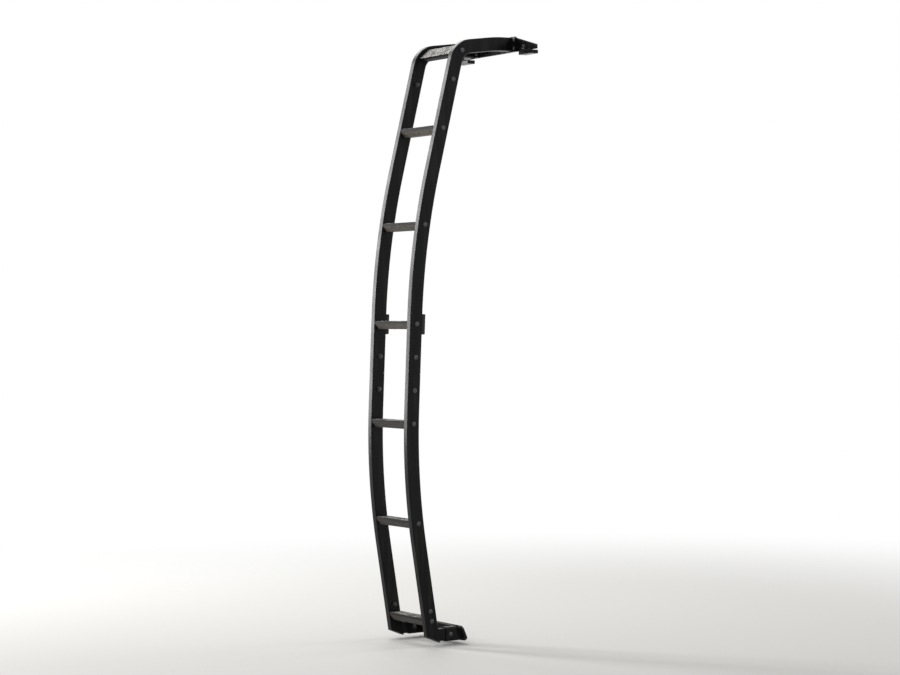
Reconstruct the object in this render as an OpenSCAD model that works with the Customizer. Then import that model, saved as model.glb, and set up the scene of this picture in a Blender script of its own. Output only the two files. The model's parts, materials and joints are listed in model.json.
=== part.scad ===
// Side ladder for a van: two bent box-tube stiles, six level treads and one in the top bend.
// It hangs from the side rail of a roof rack and stands off from the sill on two short arms,
// which slide in sleeves on the sill plate and are held there by a bolt each.
// The origin is the middle of the flat face that lies on the rail, +Y goes into the vehicle,
// +X to the right of a person who faces the ladder, and every angle is in the YZ plane.

/* [Stile tube] */
// Width of the tube, across the ladder
tube_w = 25; // [20:1:40]
// Depth of the tube, from its outer face to its inner one
tube_d = 45; // [35:1:60]
// Wall of the tube
tube_wall = 2.5; // [1.5:0.5:4]
// Outer corner radius of the tube
tube_corner = 4; // [3:0.5:6]
// Width of the ladder over both stiles
ladder_w = 245; // [200:5:450]

/* [Stile shape] */
// Level length of the arm, next to the rail
arm_root = 40; // [25:1:80]
// Radius of the slight bow in the arm
arm_bow_radius = 500; // [200:50:1000]
// Fall of the arm from the rail to the top bend, in degrees
arm_fall = 7; // [2:0.5:15]
// Straight length of the arm before the top bend
arm_run = 76; // [20:1:200]
// Radius of the top bend, at the middle of the tube
top_bend_radius = 65; // [50:5:150]
// Lean of the upper straight from the vertical, in degrees
upper_lean = 14.5; // [10:0.5:20]
// Radius of the shoulder, below the upper straight
shoulder_radius = 2400; // [1500:100:3000]
// Lean of the middle straight from the vertical, in degrees
middle_lean = 3; // [1:0.5:6]
// Length of the middle straight
middle_run = 296; // [200:1:500]
// Radius of the hip, below the middle straight
hip_radius = 2200; // [1500:100:3000]
// Tuck of the lower straight towards the vehicle, in degrees
lower_tuck = 8.5; // [4:0.5:12]
// Slope of the cut at the foot, down towards the vehicle, in degrees from the level
foot_cut = 22; // [0:1:30]

/* [Rungs] */
// Distance between the level rungs, along the stile
rung_pitch = 322; // [280:1:360]
// Distance of the uppermost level rung below the top bend
first_rung = 230; // [180:1:300]
// Length of stile below the lowest rung, to the middle of the foot
foot_below = 60; // [50:1:120]
// Depth of a tread
tread_d = 44; // [36:1:60]
// Height of a tread
tread_h = 26; // [22:1:34]
// Wall of the tread extrusion
tread_wall = 2; // [1.5:0.5:3]
// How far the lower front edge of a tread is set back
tread_setback = 14; // [6:1:18]
// Height of the upright nose of a tread
tread_nose = 8; // [5:1:12]
// Number of grooves in the top of a tread
groove_count = 7; // [3:1:9]
// Width of one groove
groove_w = 2.4; // [1.5:0.1:3]
// Depth of one groove
groove_deep = 1.2; // [0.5:0.1:1.4]
// Radius of the screw port in a tread
port_r = 3.4; // [2.5:0.1:4]
// Height of the screw port above the middle of a tread
port_up = 4; // [0:0.5:5]
// Wall round the screw port
port_wall = 2.6; // [1.5:0.1:4]
// Radius of the bolt holes through the stiles
bolt_hole_r = 4.25; // [3:0.25:5]
// Distance of the spare bolt above the uppermost level rung
top_bolt_up = 165; // [60:5:175]
// Distance of the spare bolt above the lowest rung
low_bolt_up = 33; // [28:1:60]

/* [Splice] */
// Distance of the joint between the halves below the shoulder, midway between two rungs
joint_run = 182; // [100:1:190]
// Gap between the halves at the joint
joint_gap = 0.6; // [0.2:0.1:0.9]
// Play between the sleeve and the inside of the tube, on each side
sleeve_play = 0.3; // [0.1:0.1:0.6]
// Wall of the sleeve
sleeve_wall = 3; // [2:0.5:5]
// Outer corner radius of the sleeve
sleeve_corner = 3.5; // [3:0.5:6]
// Length of sleeve past the bolt of each neighbouring rung
sleeve_end = 30; // [20:1:60]

/* [Rack mount] */
// Length of the rack plate
plate_l = 500; // [420:10:700]
// Height of the rack plate
plate_h = 50; // [45:1:80]
// Thickness of the rack plate
plate_t = 6; // [4:1:10]
// Height of the rack plate at the tips of its wings
wing_tip = 14; // [8:1:30]
// Distance of the outer rail bolts from the ends of the plate
rail_bolt_end = 65; // [40:5:70]
// Distance of the outer rail bolts below the middle of the plate
rail_bolt_low = 14; // [10:1:16]
// Distance of the inner rail bolts from the middle
rail_bolt_inner = 40; // [20:5:60]
// Radius of the rail bolt holes
rail_hole_r = 4.5; // [3:0.5:6]
// Width of a clamp lug, along the rail
lug_w = 70; // [50:5:90]
// Height of a clamp lug below the plate
lug_h = 12; // [8:1:25]
// Depth of a clamp lug
lug_d = 30; // [20:1:50]
// Thickness of the flange on the end of an arm
flange_t = 5; // [4:1:8]
// Width of that flange past the tube, on each side
flange_side = 18; // [15:1:24]
// Radius of the screw holes in that flange
flange_hole_r = 3.5; // [2.5:0.5:4]

/* [Stand-off pads] */
// Length of a stand-off pad, along the stile
pad_l = 66; // [40:1:120]
// Thickness of a stand-off pad
pad_t = 12; // [6:1:20]
// How much narrower a stand-off pad is than the tube, on each side
pad_inset = 1; // [0.5:0.5:4]

/* [Foot and sill mount] */
// Width of the foot arm
foot_arm_w = 20; // [14:1:22]
// Height of the foot arm
foot_arm_h = 40; // [30:1:60]
// Height of the foot arm above the lower end of the stile
foot_arm_up = 1; // [1:1:20]
// Distance from the middle of the stile's foot to the back of the sill plate
foot_arm_l = 108; // [90:1:160]
// Gap between the end of the foot arm and the sill plate
foot_arm_gap = 4; // [1:1:12]
// Length of the sleeve that takes the foot arm
shoe_l = 56; // [45:1:62]
// Wall of that sleeve
shoe_wall = 3; // [2:0.5:4]
// Play between the foot arm and its sleeve, on each side
shoe_play = 0.3; // [0.1:0.1:0.6]
// Distance of the bolt through the sleeve from its outer end
shoe_bolt = 16; // [10:1:20]
// Slant of the sill plate from the vertical, in degrees
sill_slant = 23; // [0:1:30]
// Length of the sill plate
sill_l = 280; // [250:5:600]
// Height of the sill plate, along its slant
sill_h = 50; // [48:1:90]
// Thickness of the sill plate
sill_t = 5; // [3:1:8]
// Cut-off at the corners of the sill plate
sill_corner = 8; // [2:1:15]
// Thickness of the rubber pad behind it
sill_pad_t = 4; // [2:1:8]
// Distance of the sill bolts from the middle
sill_bolt = 60; // [20:5:70]
// Radius of the sill bolt holes
sill_hole_r = 4.5; // [3:0.5:6]
// Thickness of the head of a foot cap
cap_head = 3; // [2:0.5:6]
// Depth of a foot cap inside the tube
cap_plug = 15; // [8:1:25]
// Play between a foot cap and the inside of the tube, on each side
cap_play = 0.3; // [0.1:0.1:0.6]

/* [Hidden] */
$fn = 48;

coat = "#17181a";
rubber = "#202020";
zinc = "#8d9093";

// The stile's middle line as [length, turn in degrees], from the rail outwards and down.
// It runs on past the foot, where the slanted cut ends the tube.
arm_bow = bend(arm_bow_radius, arm_fall);
top_bend = bend(top_bend_radius, 90 - upper_lean - arm_fall);
shoulder = bend(shoulder_radius, upper_lean - middle_lean);
hip = bend(hip_radius, middle_lean + lower_tuck);
top_bend_s = arm_root + arm_bow[0] + arm_run;
upper_s = top_bend_s + top_bend[0];
joint_s = rung_s(7 / 2);
foot_s = rung_s(6) + foot_below;
shoulder_s = joint_s - joint_run - shoulder[0];
lower_s = joint_s - joint_run + middle_run + hip[0];
path = [[arm_root, 0], arm_bow, [arm_run, 0], top_bend, [shoulder_s - upper_s, 0], shoulder,
    [middle_run, 0], hip, [foot_s + tube_d - lower_s, 0]];
path_l = foot_s + tube_d;

stile_x = (ladder_w - tube_w) / 2;
arm_start = plate_t + flange_t;
top_rung_s = top_bend_s + top_bend[0] / 2;
top_bolt_s = rung_s(1) - top_bolt_up;
low_bolt_s = rung_s(6) - low_bolt_up;
splice_bolts = [for (k = [1, 2]) joint_s + (k - 1.5) * rung_pitch / 3];
rung_gap_x = ladder_w - 2 * tube_w;
rail_bolt_x = plate_l / 2 - rail_bolt_end;
foot_y = at(foot_s)[0];
foot_z = at(foot_s)[1] - tube_d / 2 * tan(foot_cut) + foot_arm_up + foot_arm_h / 2;
lap = 0.02;
$full = 0;

function bend(r, turn) = [r * turn * PI / 180, turn];
function bend_radius(i) = path[i][0] * 180 / (PI * path[i][1]);
function run_before(i) = i == 0 ? 0 : path[i - 1][0] + run_before(i - 1);
// Where a run of the given turn ends, from the place and heading f = [y, z, heading]
function run_end(f, run, turn) =
    let (h = f[2] + turn, r = turn == 0 ? 0 : run * 180 / (PI * turn))
    turn == 0
        ? [f[0] - run * cos(h), f[1] - run * sin(h), h]
        : [f[0] + r * (sin(f[2]) - sin(h)), f[1] + r * (cos(h) - cos(f[2])), h];
// Place and heading of the stile's middle line at a distance s from the rail
function at(s, i = 0, f = [0, 0, 0]) =
    i == len(path) - 1 || s <= path[i][0]
        ? run_end(f, s, path[i][1] * s / path[i][0])
        : at(s - path[i][0], i + 1, run_end(f, path[i][0], path[i][1]));
function rung_s(k) = upper_s + first_rung + (k - 1) * rung_pitch;

// Places a child a distance s along run i: Y along the stile, Z towards the vehicle
module on_run(i, s) {
    turn = path[i][1];
    if (turn == 0) translate([0, s, 0]) children();
    else {
        r = bend_radius(i);
        translate([0, 0, r]) rotate([turn * s / path[i][0], 0, 0]) translate([0, 0, -r]) children();
    }
}

// The same at a distance s from the rail, run after run
module on_stile(s, i = 0) {
    if (i == 0) rotate([180, 0, 0]) on_runs(s, 0) children();
    else on_runs(s, i) children();
}

module on_runs(s, i) {
    if (i == len(path) - 1 || s <= path[i][0]) on_run(i, s) children();
    else on_run(i, path[i][0]) on_runs(s - path[i][0], i + 1) children();
}

// Sweeps a section along the stile. Its X stays across the ladder, its Y points outwards.
// Straights lap a little into the bends, whose section is as much fuller, so that they fuse.
module sweep(s0, s1) {
    for (i = [0:len(path) - 1]) {
        start = run_before(i);
        stop = run_before(i + 1);
        a = max(s0, start);
        b = min(s1, stop);
        if (b > a + lap) {
            if (path[i][1] == 0) {
                before = s0 < start ? lap : 0;
                after = s1 > stop ? lap : 0;
                $full = 0;
                on_stile(a) translate([0, -before, 0]) rotate([-90, 0, 0])
                    linear_extrude(b - a + before + after) children();
            } else {
                r = bend_radius(i);
                $full = lap;
                on_stile(a) translate([0, 0, r]) rotate([0, 90, 0])
                    rotate_extrude(angle = (b - a) / path[i][0] * path[i][1], $fn = max(96, r / 3))
                        translate([r, 0]) mirror([1, -1, 0]) children();
            }
        }
    }
}

module round_box(w, d, r) {
    square([w - 2 * r, d], center = true);
    square([w, d - 2 * r], center = true);
    for (x = [-1, 1], y = [-1, 1])
        translate([x * (w / 2 - r), y * (d / 2 - r)]) circle(r);
}

module box_ring(w, d, r, wall) {
    difference() {
        round_box(w + 2 * $full, d + 2 * $full, r + $full);
        round_box(w - 2 * wall - 2 * $full, d - 2 * wall - 2 * $full, r - wall - $full);
    }
}

module tube_section() {
    box_ring(tube_w, tube_d, tube_corner, tube_wall);
}

// Bolt holes across the stile, at distances along its middle line
module cross_holes(places) {
    for (s = places) on_stile(s) rotate([0, 90, 0])
        cylinder(r = bolt_hole_r, h = tube_w + 2, center = true);
}

module stile_upper(side) {
    color(coat) translate([side * stile_x, 0, 0]) difference() {
        sweep(arm_start, joint_s - joint_gap / 2) tube_section();
        cross_holes(concat([for (k = [1:3]) rung_s(k)], [splice_bolts[0], top_rung_s, top_bolt_s]));
    }
}

module stile_lower(side) {
    color(coat) translate([side * stile_x, 0, 0]) difference() {
        sweep(joint_s + joint_gap / 2, path_l) tube_section();
        cross_holes(concat([for (k = [4:6]) rung_s(k)], [splice_bolts[1], low_bolt_s]));
        at_foot_cut() slab(-2 * tube_d, 0);
    }
}

module splice_sleeve(side) {
    w = tube_w - 2 * tube_wall - 2 * sleeve_play;
    d = tube_d - 2 * tube_wall - 2 * sleeve_play;
    color(zinc) translate([side * stile_x, 0, 0]) difference() {
        sweep(rung_s(3) - sleeve_end, rung_s(4) + sleeve_end)
            box_ring(w, d, sleeve_corner, sleeve_wall);
        cross_holes(concat([rung_s(3), rung_s(4)], splice_bolts));
    }
}

// Frame of the slanted cut at the foot, with Z up out of the cut
module at_foot_cut() {
    translate([0, foot_y, at(foot_s)[1]]) rotate([-foot_cut, 0, 0]) children();
}

module slab(z0, z1) {
    translate([-tube_w, -2 * tube_d, z0]) cube([2 * tube_w, 4 * tube_d, z1 - z0]);
}

// Section of a tread: X goes into the vehicle, Y up, and the screw port hangs from its top wall
module tread_section() {
    back = tread_d / 2;
    top = tread_h / 2;
    land = (tread_d - groove_count * groove_w) / (groove_count + 1);
    slope = tread_setback / (tread_h - tread_nose);
    lean_wall = tread_wall * sqrt(1 + slope * slope);
    ceiling = top - groove_deep - tread_wall;
    difference() {
        polygon([[-back, top], [back, top], [back, -top], [tread_setback - back, -top],
            [-back, top - tread_nose]]);
        for (i = [1:groove_count])
            translate([i * (land + groove_w) - groove_w - back, top - groove_deep])
                square([groove_w, groove_deep + 1]);
        difference() {
            polygon([[tread_wall - back, ceiling], [back - tread_wall, ceiling],
                [back - tread_wall, tread_wall - top],
                [(tread_h - tread_nose - tread_wall) * slope + lean_wall - back, tread_wall - top],
                [tread_wall - back, top - tread_nose + (lean_wall - tread_wall) / slope]]);
            translate([0, port_up]) circle(port_r + port_wall);
            translate([-tread_wall / 2, -top]) square([tread_wall, tread_h]);
        }
        translate([0, port_up]) circle(port_r);
    }
}

// A tread, placed by its screw port
module tread(length) {
    translate([0, 0, -port_up]) rotate([90, 0, 90])
        linear_extrude(length, center = true) tread_section();
}

module rung(k) {
    f = at(rung_s(k));
    color(coat) translate([0, f[0], f[1]]) tread(rung_gap_x);
}

// The tread in the bend is turned with it, its top just inside the outer face of the tubes
module top_rung() {
    f = at(top_rung_s);
    color(coat) translate([0, f[0], f[1]]) rotate([f[2], 0, 0]) tread(rung_gap_x);
}

module rack_plate() {
    wing_x = ladder_w / 2;
    tip_z = wing_tip - plate_h / 2;
    color(coat) difference() {
        rotate([90, 0, 0]) linear_extrude(plate_t)
            polygon([[-plate_l / 2, -plate_h / 2], [plate_l / 2, -plate_h / 2], [plate_l / 2, tip_z],
                [wing_x, plate_h / 2], [-wing_x, plate_h / 2], [-plate_l / 2, tip_z]]);
        for (x = [-1, 1]) {
            translate([x * rail_bolt_inner, 0, 0]) rail_hole();
            translate([x * rail_bolt_x, 0, -rail_bolt_low]) rail_hole();
        }
    }
}

module rail_hole() {
    rotate([90, 0, 0]) cylinder(r = rail_hole_r, h = 3 * plate_t, center = true);
}

module rack_lug(side) {
    color(coat) translate([side * rail_bolt_x - lug_w / 2, -plate_t, -plate_h / 2 - lug_h])
        cube([lug_w, lug_d, lug_h]);
}

module arm_flange(side) {
    w = tube_w + 2 * flange_side;
    color(coat) translate([side * stile_x, -plate_t, 0]) difference() {
        rotate([90, 0, 0]) linear_extrude(flange_t) round_box(w, plate_h, tube_corner);
        for (x = [-1, 1], z = [-1, 1])
            translate([x * (tube_w + flange_side) / 2, 0, z * plate_h / 4]) rotate([90, 0, 0])
                cylinder(r = flange_hole_r, h = 3 * flange_t, center = true);
    }
}

module stand_off_pad(side) {
    color(rubber) translate([side * stile_x, 0, 0])
        sweep(rung_s(3) - pad_l / 2, rung_s(3) + pad_l / 2)
            translate([pad_inset - tube_w / 2 - $full, -tube_d / 2 - pad_t - $full])
                square([tube_w - 2 * pad_inset + 2 * $full, pad_t]);
}

// Frame of the sill plate: Y into the vehicle, square to the plate's back
module at_sill() {
    translate([0, foot_y + foot_arm_l, foot_z]) rotate([sill_slant, 0, 0]) children();
}

// All that lies outwards of a plane parallel to the sill plate, at a distance from its back
module outwards_of(from) {
    at_sill() translate([-ladder_w, -from - 2 * foot_arm_l, -2 * foot_arm_l])
        cube([2 * ladder_w, 2 * foot_arm_l, 4 * foot_arm_l]);
}

// A level tube from a place y to past the sill plate, with the hole for its bolt
module level_tube(side, y, w, h, r, wall) {
    translate([side * stile_x, 0, foot_z]) difference() {
        translate([0, y, 0]) rotate([90, 0, 180]) linear_extrude(2 * foot_arm_l)
            box_ring(w, h, r, wall);
        translate([0, shoe_start() + shoe_bolt, 0]) rotate([0, 90, 0])
            cylinder(r = bolt_hole_r, h = 2 * tube_w, center = true);
    }
}

function shoe_start() = foot_y + foot_arm_l - sill_t - shoe_l;

// The foot arm is coped round the stile's inner corners
module foot_arm(side) {
    color(coat) difference() {
        intersection() {
            level_tube(side, foot_y, foot_arm_w, foot_arm_h, tube_corner, tube_wall);
            outwards_of(sill_t + foot_arm_gap);
        }
        translate([side * stile_x, 0, 0]) sweep(low_bolt_s, path_l)
            round_box(tube_w, tube_d, tube_corner);
    }
}

module foot_shoe(side) {
    past = shoe_play + shoe_wall;
    color(coat) intersection() {
        level_tube(side, shoe_start(), foot_arm_w + 2 * past, foot_arm_h + 2 * past,
            tube_corner + past, shoe_wall);
        outwards_of(sill_t);
    }
}

module sill_outline() {
    x = sill_l / 2;
    z = sill_h / 2;
    c = sill_corner;
    polygon([[-x, c - z], [c - x, -z], [x - c, -z], [x, c - z],
        [x, z - c], [x - c, z], [c - x, z], [-x, z - c]]);
}

module sill_sheet(from, t) {
    at_sill() difference() {
        translate([0, from, 0]) rotate([90, 0, 0]) linear_extrude(t) sill_outline();
        for (x = [-1, 1]) translate([x * sill_bolt, 0, 0]) rotate([90, 0, 0])
            cylinder(r = sill_hole_r, h = 6 * (sill_t + sill_pad_t), center = true);
    }
}

module sill_plate() {
    color(coat) sill_sheet(0, sill_t);
}

module sill_pad() {
    color(rubber) sill_sheet(sill_pad_t, sill_pad_t);
}

// A moulded cap, with a plug that is cut on the same slant as its head
module foot_cap(side) {
    w = tube_w - 2 * tube_wall - 2 * cap_play;
    d = tube_d - 2 * tube_wall - 2 * cap_play;
    color(rubber) translate([side * stile_x, 0, 0]) {
        intersection() {
            sweep(low_bolt_s, path_l) round_box(tube_w, tube_d, tube_corner);
            at_foot_cut() slab(-cap_head, 0);
        }
        intersection() {
            sweep(low_bolt_s, path_l) round_box(w, d, tube_corner - tube_wall);
            at_foot_cut() slab(-cap_head / 2, cap_plug);
        }
    }
}

rack_plate();
rack_lug(-1);  // rack_lug_left
rack_lug(1);  // rack_lug_right
arm_flange(-1);  // arm_flange_left
arm_flange(1);  // arm_flange_right
stile_upper(-1);  // stile_upper_left
stile_upper(1);  // stile_upper_right
stile_lower(-1);  // stile_lower_left
stile_lower(1);  // stile_lower_right
splice_sleeve(-1);  // splice_sleeve_left
splice_sleeve(1);  // splice_sleeve_right
top_rung();
rung(1);  // rung_1
rung(2);  // rung_2
rung(3);  // rung_3
rung(4);  // rung_4
rung(5);  // rung_5
rung(6);  // rung_6
stand_off_pad(-1);  // stand_off_pad_left
stand_off_pad(1);  // stand_off_pad_right
foot_arm(-1);  // foot_arm_left
foot_arm(1);  // foot_arm_right
foot_shoe(-1);  // foot_shoe_left
foot_shoe(1);  // foot_shoe_right
sill_plate();
sill_pad();
foot_cap(-1);  // foot_cap_left
foot_cap(1);  // foot_cap_right
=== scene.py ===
# %% [markdown]
# A side ladder with seven treads, dressed for its picture.
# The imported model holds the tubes, treads, plates and pads at their real size and place.
# This lesson adds what the eye and the hand meet on the real ladder: soft edges, the grip on the treads,
# bolts, washers and nuts, weld beads, rubber and plastic mouldings, and the finish of every surface.
# X runs across the ladder, +Y points towards what it is bolted to, Z is up, and lengths are metres.

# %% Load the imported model
import json
import math

import bpy
from mathutils import Matrix, Vector

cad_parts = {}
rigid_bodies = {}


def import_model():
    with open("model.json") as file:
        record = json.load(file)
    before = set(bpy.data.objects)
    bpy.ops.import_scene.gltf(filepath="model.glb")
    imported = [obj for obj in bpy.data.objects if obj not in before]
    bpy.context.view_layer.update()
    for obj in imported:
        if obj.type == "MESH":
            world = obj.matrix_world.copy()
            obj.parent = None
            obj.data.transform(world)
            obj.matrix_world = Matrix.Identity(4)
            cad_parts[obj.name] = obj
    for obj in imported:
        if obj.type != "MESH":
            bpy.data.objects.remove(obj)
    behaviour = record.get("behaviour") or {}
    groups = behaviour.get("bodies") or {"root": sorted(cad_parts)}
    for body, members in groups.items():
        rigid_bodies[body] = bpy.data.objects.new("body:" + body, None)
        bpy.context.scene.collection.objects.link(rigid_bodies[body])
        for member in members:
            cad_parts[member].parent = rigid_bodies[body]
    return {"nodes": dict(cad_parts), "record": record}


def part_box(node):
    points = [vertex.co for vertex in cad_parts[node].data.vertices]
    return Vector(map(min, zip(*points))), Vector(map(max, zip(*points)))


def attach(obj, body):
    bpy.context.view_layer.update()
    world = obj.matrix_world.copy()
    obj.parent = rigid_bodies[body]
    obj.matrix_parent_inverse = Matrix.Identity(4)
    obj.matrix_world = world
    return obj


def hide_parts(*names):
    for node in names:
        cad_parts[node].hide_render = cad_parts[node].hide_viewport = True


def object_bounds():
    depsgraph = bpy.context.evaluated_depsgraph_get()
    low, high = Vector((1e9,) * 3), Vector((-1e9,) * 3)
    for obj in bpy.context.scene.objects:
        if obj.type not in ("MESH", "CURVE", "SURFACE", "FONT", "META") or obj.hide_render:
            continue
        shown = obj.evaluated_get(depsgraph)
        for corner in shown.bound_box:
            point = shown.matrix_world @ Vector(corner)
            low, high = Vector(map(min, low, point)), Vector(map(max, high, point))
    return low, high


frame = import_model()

CAD_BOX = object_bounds()
MM = 0.001
BODY = "root"
print("pieces in the frame:", len(frame["nodes"]))

# %% [markdown]
# Most pieces below are modelled as by hand: a primitive is added, faces or edges are picked, and an
# operator shapes them. An operator works on all that is selected, and loading leaves every piece selected.
# So each step starts by selecting one piece only. Faces and edges are picked in code, by their place or
# their normal.

# %% Helpers for selecting and shaping
def only(piece):
    """Makes a piece the one that is selected and active, in object mode."""
    if bpy.context.mode != "OBJECT":
        bpy.ops.object.mode_set(mode="OBJECT")
    bpy.ops.object.select_all(action="DESELECT")
    piece.select_set(True)
    bpy.context.view_layer.objects.active = piece
    return piece


def pick(piece, kind, test):
    """Opens edit mode with the faces ("polygons") or "edges" selected that pass the test."""
    only(piece)
    bpy.ops.object.mode_set(mode="EDIT")
    bpy.ops.mesh.select_mode(type="FACE" if kind == "polygons" else "EDGE")
    bpy.ops.mesh.select_all(action="DESELECT")
    bpy.ops.object.mode_set(mode="OBJECT")
    chosen = [part for part in getattr(piece.data, kind) if test(part)]
    for part in chosen:
        part.select = True
    bpy.ops.object.mode_set(mode="EDIT")
    return len(chosen)


def done_editing():
    bpy.ops.object.mode_set(mode="OBJECT")


def modify(piece, kind, **settings):
    """Adds a modifier with its settings and applies it."""
    only(piece)
    modifier = piece.modifiers.new(kind.lower(), kind)
    for name, value in settings.items():
        setattr(modifier, name, value)
    bpy.ops.object.modifier_apply(modifier=modifier.name)


def cut_with(piece, tool, operation="DIFFERENCE"):
    """Cuts a piece with a tool, or keeps what both share, and deletes the tool."""
    modify(piece, "BOOLEAN", object=tool, operation=operation)
    bpy.data.objects.remove(tool)


def soften(piece, radius, steps=2, corner=35):
    """Rounds the edges that turn by more than a corner angle, and shades the rest smooth."""
    modify(piece, "BEVEL", width=radius, segments=steps, limit_method="ANGLE",
           angle_limit=math.radians(corner))
    only(piece)
    bpy.ops.object.shade_smooth_by_angle(angle=math.radians(corner))


def cylinder(radius, depth, base=0.0, sides=48):
    """An upright cylinder whose lower end is at a height base."""
    bpy.ops.object.select_all(action="DESELECT")
    bpy.ops.mesh.primitive_cylinder_add(
        vertices=sides, radius=radius, depth=depth, location=(0, 0, base + depth / 2))
    bpy.ops.object.transform_apply()
    return bpy.context.active_object


def block(size, centre):
    """A box of a given size round a centre."""
    bpy.ops.object.select_all(action="DESELECT")
    bpy.ops.mesh.primitive_cube_add(size=1, scale=size, location=centre)
    bpy.ops.object.transform_apply()
    return bpy.context.active_object


def joined(name, pieces):
    """Joins pieces into one mesh."""
    bpy.ops.object.select_all(action="DESELECT")
    for piece in pieces:
        piece.select_set(True)
    bpy.context.view_layer.objects.active = pieces[0]
    if len(pieces) > 1:
        bpy.ops.object.join()
    pieces[0].name = name
    return pieces[0]


def copy_at(pattern, name, place):
    """A copy with its own mesh, put at a place and left with its object at the origin."""
    piece = bpy.data.objects.new(name, pattern.data.copy())
    bpy.context.scene.collection.objects.link(piece)
    piece.matrix_world = place
    only(piece)
    bpy.ops.object.transform_apply()
    return piece


# %% [markdown]
# Every material starts from what the real surface is. One function writes a node with its settings and
# links, and colours are given as a painter's hex codes, which another turns into the linear values that
# shaders use. A pattern's scale comes from a size in millimetres: a texture of scale 1 repeats about once a
# metre.

# %% Helpers for materials
def linear(code):
    """A hex colour such as #808080 as linear red, green, blue and alpha."""
    parts = [int(code[i:i + 2], 16) / 255 for i in (1, 3, 5)]
    return [c / 12.92 if c <= 0.04045 else ((c + 0.055) / 1.055) ** 2.4 for c in parts] + [1.0]


def add(tree, kind, values=None, links=None, **settings):
    """One node of a kind, with its settings, the values of its sockets and what feeds them."""
    made = tree.nodes.new(kind)
    for name, value in settings.items():
        setattr(made, name, value)
    for socket, value in (values or {}).items():
        made.inputs[socket].default_value = value
    for socket, source in (links or {}).items():
        tree.links.new(source, made.inputs[socket])
    return made


def per_mm(size):
    """The texture scale at which a pattern repeats every so many millimetres."""
    return 1 / (size * MM)


def new_material(name):
    """An empty material, with the coordinates that every finish here reads."""
    material = bpy.data.materials.new(name)
    material.use_nodes = True
    tree = material.node_tree
    tree.nodes.clear()
    coords = add(tree, "ShaderNodeTexCoord").outputs["Object"]
    return material, tree, coords


def finish_with(material, tree, values, links):
    """Ends a material with the surface shader."""
    shader = add(tree, "ShaderNodeBsdfPrincipled", values, links)
    add(tree, "ShaderNodeOutputMaterial", links={"Surface": shader.outputs["BSDF"]})
    print("material:", material.name)
    return material


def upward(tree):
    """How far a surface faces up, from 0 on walls to 1 on flats."""
    normal = add(tree, "ShaderNodeNewGeometry").outputs["Normal"]
    height = add(tree, "ShaderNodeSeparateXYZ", links={"Vector": normal}).outputs["Z"]
    return add(tree, "ShaderNodeMapRange", {"From Min": 0.25, "From Max": 1.0},
               {"Value": height}).outputs["Result"]


# %% [markdown]
# The stiles, plates and brackets are aluminium under black powder coat. The powder is sprayed dry and melts
# in an oven, so the skin is satin, fills small scratches and shows a faint orange peel. Outdoors it catches
# a film of dust, most on what faces up, and rain draws the rest into faint streaks. That gives the eye deep
# black flanks with a little life in them, soft grey highlights and dull tops.

# %% Powder coat
COAT_PEEL = 2.5   # mm, the swells of the orange peel, drawn a little coarse so that they show
COAT_CLOUD = 70   # mm, patches where the gloss varies
COAT_DUST = 14    # mm, the mottling of the dust
STREAK = 16       # mm between the streaks that rain leaves
STREAK_RUN = 240  # mm that one streak runs down


def powder_coat():
    material, tree, coords = new_material("satin_black_powder_coat")
    peel = add(tree, "ShaderNodeTexNoise", {"Scale": per_mm(COAT_PEEL), "Detail": 2.0}, {"Vector": coords})
    cloud = add(tree, "ShaderNodeTexNoise", {"Scale": per_mm(COAT_CLOUD), "Detail": 4.0}, {"Vector": coords})
    mottle = add(tree, "ShaderNodeTexNoise", {"Scale": per_mm(COAT_DUST), "Detail": 6.0, "Roughness": 0.65},
                 {"Vector": coords})
    speck = add(tree, "ShaderNodeMapRange", {"From Min": 0.35, "From Max": 0.75, "To Max": 0.30},
                {"Value": mottle.outputs["Fac"]})
    down = add(tree, "ShaderNodeMapping",
               {"Scale": (per_mm(STREAK), per_mm(STREAK), per_mm(STREAK_RUN))}, {"Vector": coords})
    rain = add(tree, "ShaderNodeTexNoise", {"Scale": 1.0, "Detail": 2.0}, {"Vector": down.outputs["Vector"]})
    streak = add(tree, "ShaderNodeMapRange", {"From Min": 0.45, "From Max": 0.8, "To Max": 0.06},
                 {"Value": rain.outputs["Fac"]})
    settled = add(tree, "ShaderNodeMath", links={0: upward(tree), 1: speck.outputs["Result"]},
                  operation="MULTIPLY")
    dust = add(tree, "ShaderNodeMath", links={0: settled.outputs[0], 1: streak.outputs["Result"]},
               operation="MAXIMUM").outputs[0]
    skin = add(tree, "ShaderNodeMix", {"A": linear("#060708"), "B": linear("#131416")},
               {"Factor": cloud.outputs["Fac"]}, data_type="RGBA")
    colour = add(tree, "ShaderNodeMix", {"B": linear("#8a8175")},
                 {"A": skin.outputs["Result"], "Factor": dust}, data_type="RGBA")
    gloss = add(tree, "ShaderNodeMapRange",
                {"From Min": 0.3, "From Max": 0.7, "To Min": 0.20, "To Max": 0.29},
                {"Value": cloud.outputs["Fac"]})
    dull = add(tree, "ShaderNodeMath", links={0: gloss.outputs["Result"], 1: dust}, operation="ADD")
    bump = add(tree, "ShaderNodeBump", {"Strength": 0.25, "Distance": 0.05 * MM},
               {"Height": peel.outputs["Fac"]})
    return finish_with(material, tree, {"IOR": 1.5, "Specular IOR Level": 0.13},
                       {"Base Color": colour.outputs["Result"], "Roughness": dull.outputs[0],
                        "Normal": bump.outputs["Normal"]})


COAT = powder_coat()
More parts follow.
